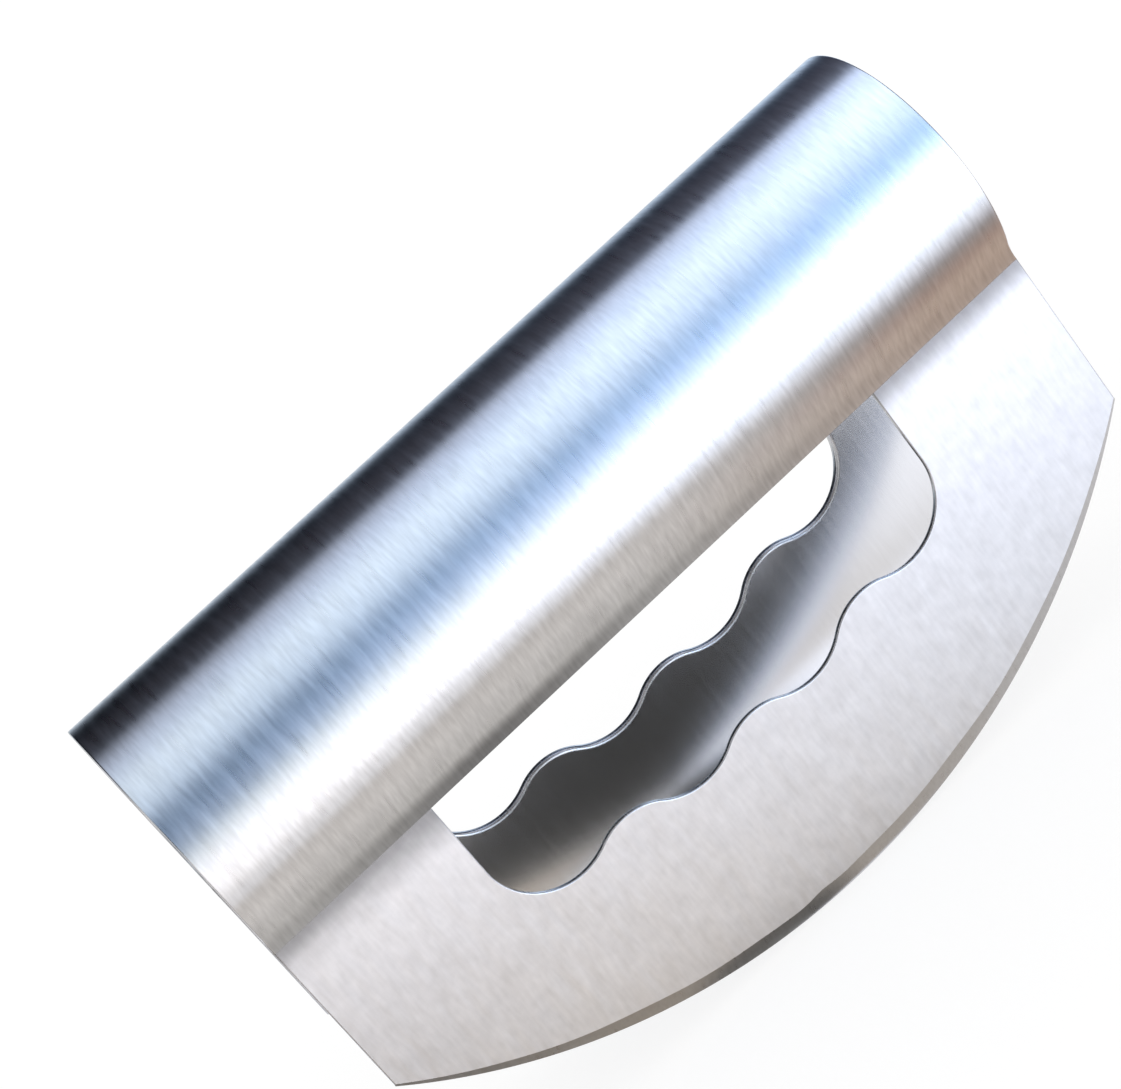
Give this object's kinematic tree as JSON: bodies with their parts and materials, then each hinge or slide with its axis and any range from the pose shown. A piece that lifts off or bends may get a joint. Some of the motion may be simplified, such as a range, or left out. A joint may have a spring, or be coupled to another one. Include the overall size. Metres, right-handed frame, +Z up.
{
  "type": "salad chopper",
  "caption": "Rocking salad chopper folded from brushed stainless sheet: open tube handle above parallel curved blades with a scalloped finger slot.",
  "frame": {"origin": "bottom centre of the bounding box, midway between the two cutting edges where they touch the board", "axes": "+X along the handle, +Y from the front blade to the rear blade, +Z up from the cutting edges to the handle"},
  "size_m": [0.165, 0.049, 0.1055],
  "materials": {
    "handle_steel": "satin stainless, fine brush lines running round the tube",
    "blade_steel": "satin stainless with faint upright brush lines and a ground band along the cutting edge"
  },
  "bodies": {
    "root": {"handle_tube": "handle_steel", "front_blade": "blade_steel", "rear_blade": "blade_steel"}
  },
  "joints": []
}
